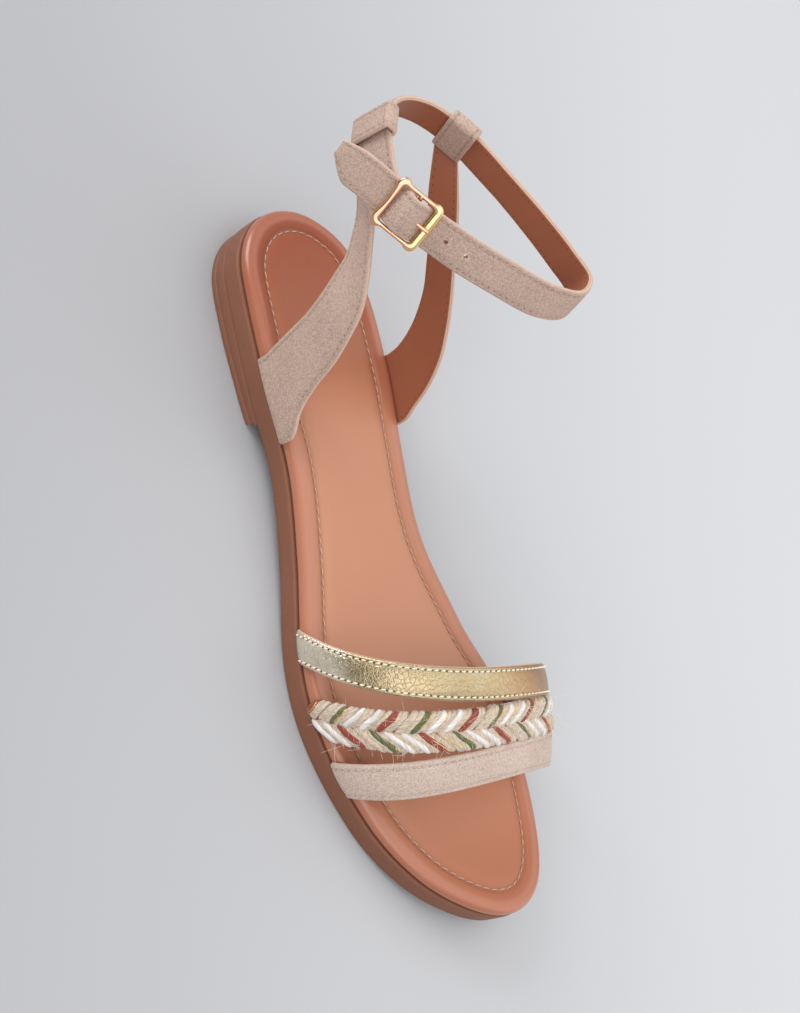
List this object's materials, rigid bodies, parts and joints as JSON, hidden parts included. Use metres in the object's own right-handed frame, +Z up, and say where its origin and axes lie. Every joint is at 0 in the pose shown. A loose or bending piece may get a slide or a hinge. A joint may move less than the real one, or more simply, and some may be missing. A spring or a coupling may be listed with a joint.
{
  "type": "flat sandal",
  "caption": "Women's flat ankle-strap sandal for the right foot: tan footbed, brown sole with a low heel, suede, gold and braided straps, buckled ankle strap.",
  "frame": {"origin": "on the floor, under the middle of the sandal's bounding box", "axes": "+X towards the toe, +Y to the inner (medial) side of the foot, +Z up"},
  "size_m": [0.2564, 0.0884, 0.1071],
  "materials": {
    "sole": "satin brown, moulded",
    "footbed": "smooth tan, semi-matte",
    "gold_leather": "metallic foil, finely crinkled",
    "braid": "braided cords, matte",
    "suede": "suede, matte",
    "buckle_metal": "rose gold plate, polished"
  },
  "bodies": {
    "root": {"outsole": "sole", "footbed": "footbed", "gold_strap": "gold_leather", "braid_strap": "braid", "toe_strap": "suede", "quarter_lateral": "suede", "quarter_medial": "suede", "ankle_strap": "suede", "buckle_frame": "buckle_metal", "buckle_prong": "buckle_metal", "buckle_loop": "suede"}
  },
  "joints": []
}
